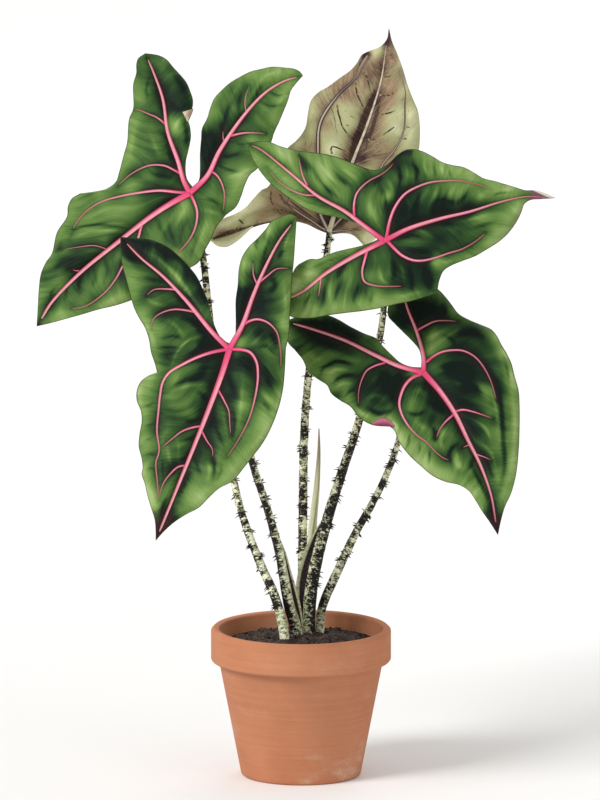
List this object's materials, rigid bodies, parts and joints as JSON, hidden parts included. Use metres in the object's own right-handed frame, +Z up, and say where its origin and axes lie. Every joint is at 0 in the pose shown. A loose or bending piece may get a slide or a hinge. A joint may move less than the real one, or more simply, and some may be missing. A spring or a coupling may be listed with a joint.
{
  "type": "potted alocasia johnstonii",
  "caption": "House plant with pink-veined arrow-shaped leaves on mottled prickly stalks, with a rolled new leaf, standing in a plain clay flower pot.",
  "frame": {"origin": "centre of the pot's flat foot, on the surface it stands on", "axes": "+Z up; +Y away from the viewer of the front view; +X to the viewer's right"},
  "size_m": [0.519, 0.3708, 0.7342],
  "materials": {
    "leaf_green": "satin",
    "leaf_underside": "matte",
    "vein_pink": "satin",
    "stalk": "satin",
    "new_leaf": "satin",
    "rootstock": "matte",
    "soil": "matte",
    "clay": "matte"
  },
  "bodies": {
    "root": {"clay_pot": "clay", "soil": "soil", "rootstock": "rootstock", "new_leaf_spear": "new_leaf", "leaf_a_blade": "leaf_green", "leaf_a_veins": "vein_pink", "leaf_a_stalk": "stalk", "leaf_b_blade": "leaf_green", "leaf_b_veins": "vein_pink", "leaf_b_stalk": "stalk", "leaf_c_blade": "leaf_green", "leaf_c_veins": "vein_pink", "leaf_c_stalk": "stalk", "leaf_d_blade": "leaf_green", "leaf_d_veins": "vein_pink", "leaf_d_stalk": "stalk", "leaf_e_blade": "leaf_underside", "leaf_e_stalk_and_ribs": "stalk"}
  },
  "joints": []
}
